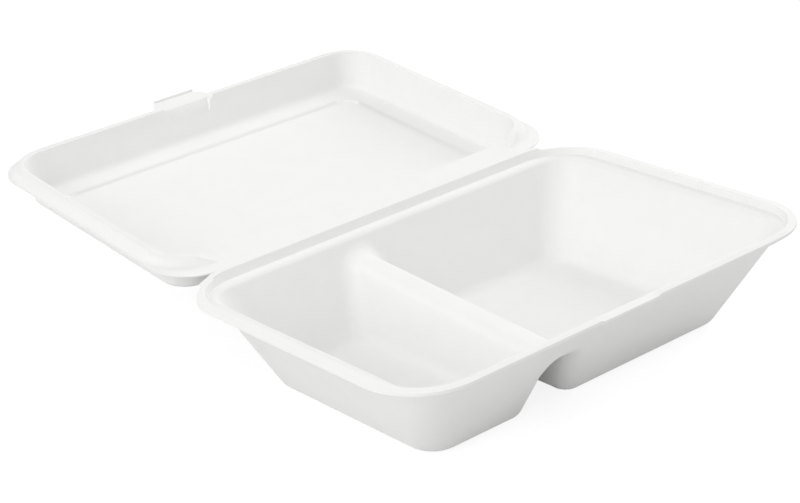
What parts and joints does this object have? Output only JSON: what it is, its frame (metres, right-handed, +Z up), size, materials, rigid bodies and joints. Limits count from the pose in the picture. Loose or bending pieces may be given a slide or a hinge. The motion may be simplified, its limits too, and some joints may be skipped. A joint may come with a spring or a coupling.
{
  "type": "clamshell food container",
  "caption": "Shallow clamshell food container of moulded white fibre pulp, open, with a rib between its two wells, a stepped nesting rim and a hinged pan-shaped lid with a front tab.",
  "frame": {"origin": "on the floor plane, straight under the middle of the hinge's crease, which is the bottom centre of the open container", "axes": "+X along the hinge, -Y from the hinge over the tray to its front, +Y over the open lid, +Z up"},
  "size_m": [0.24, 0.3301, 0.0706],
  "materials": {
    "pulp": "matte"
  },
  "bodies": {
    "tray": {"tray": "pulp"},
    "lid": {"lid": "pulp"}
  },
  "joints": [
    {"name": "lid_hinge", "type": "hinge", "parent": "tray", "child": "lid", "pos_m": [0, 0, 0.0495], "axis": [1, 0, 0], "range_deg": [-6.2, 173.8]}
  ]
}
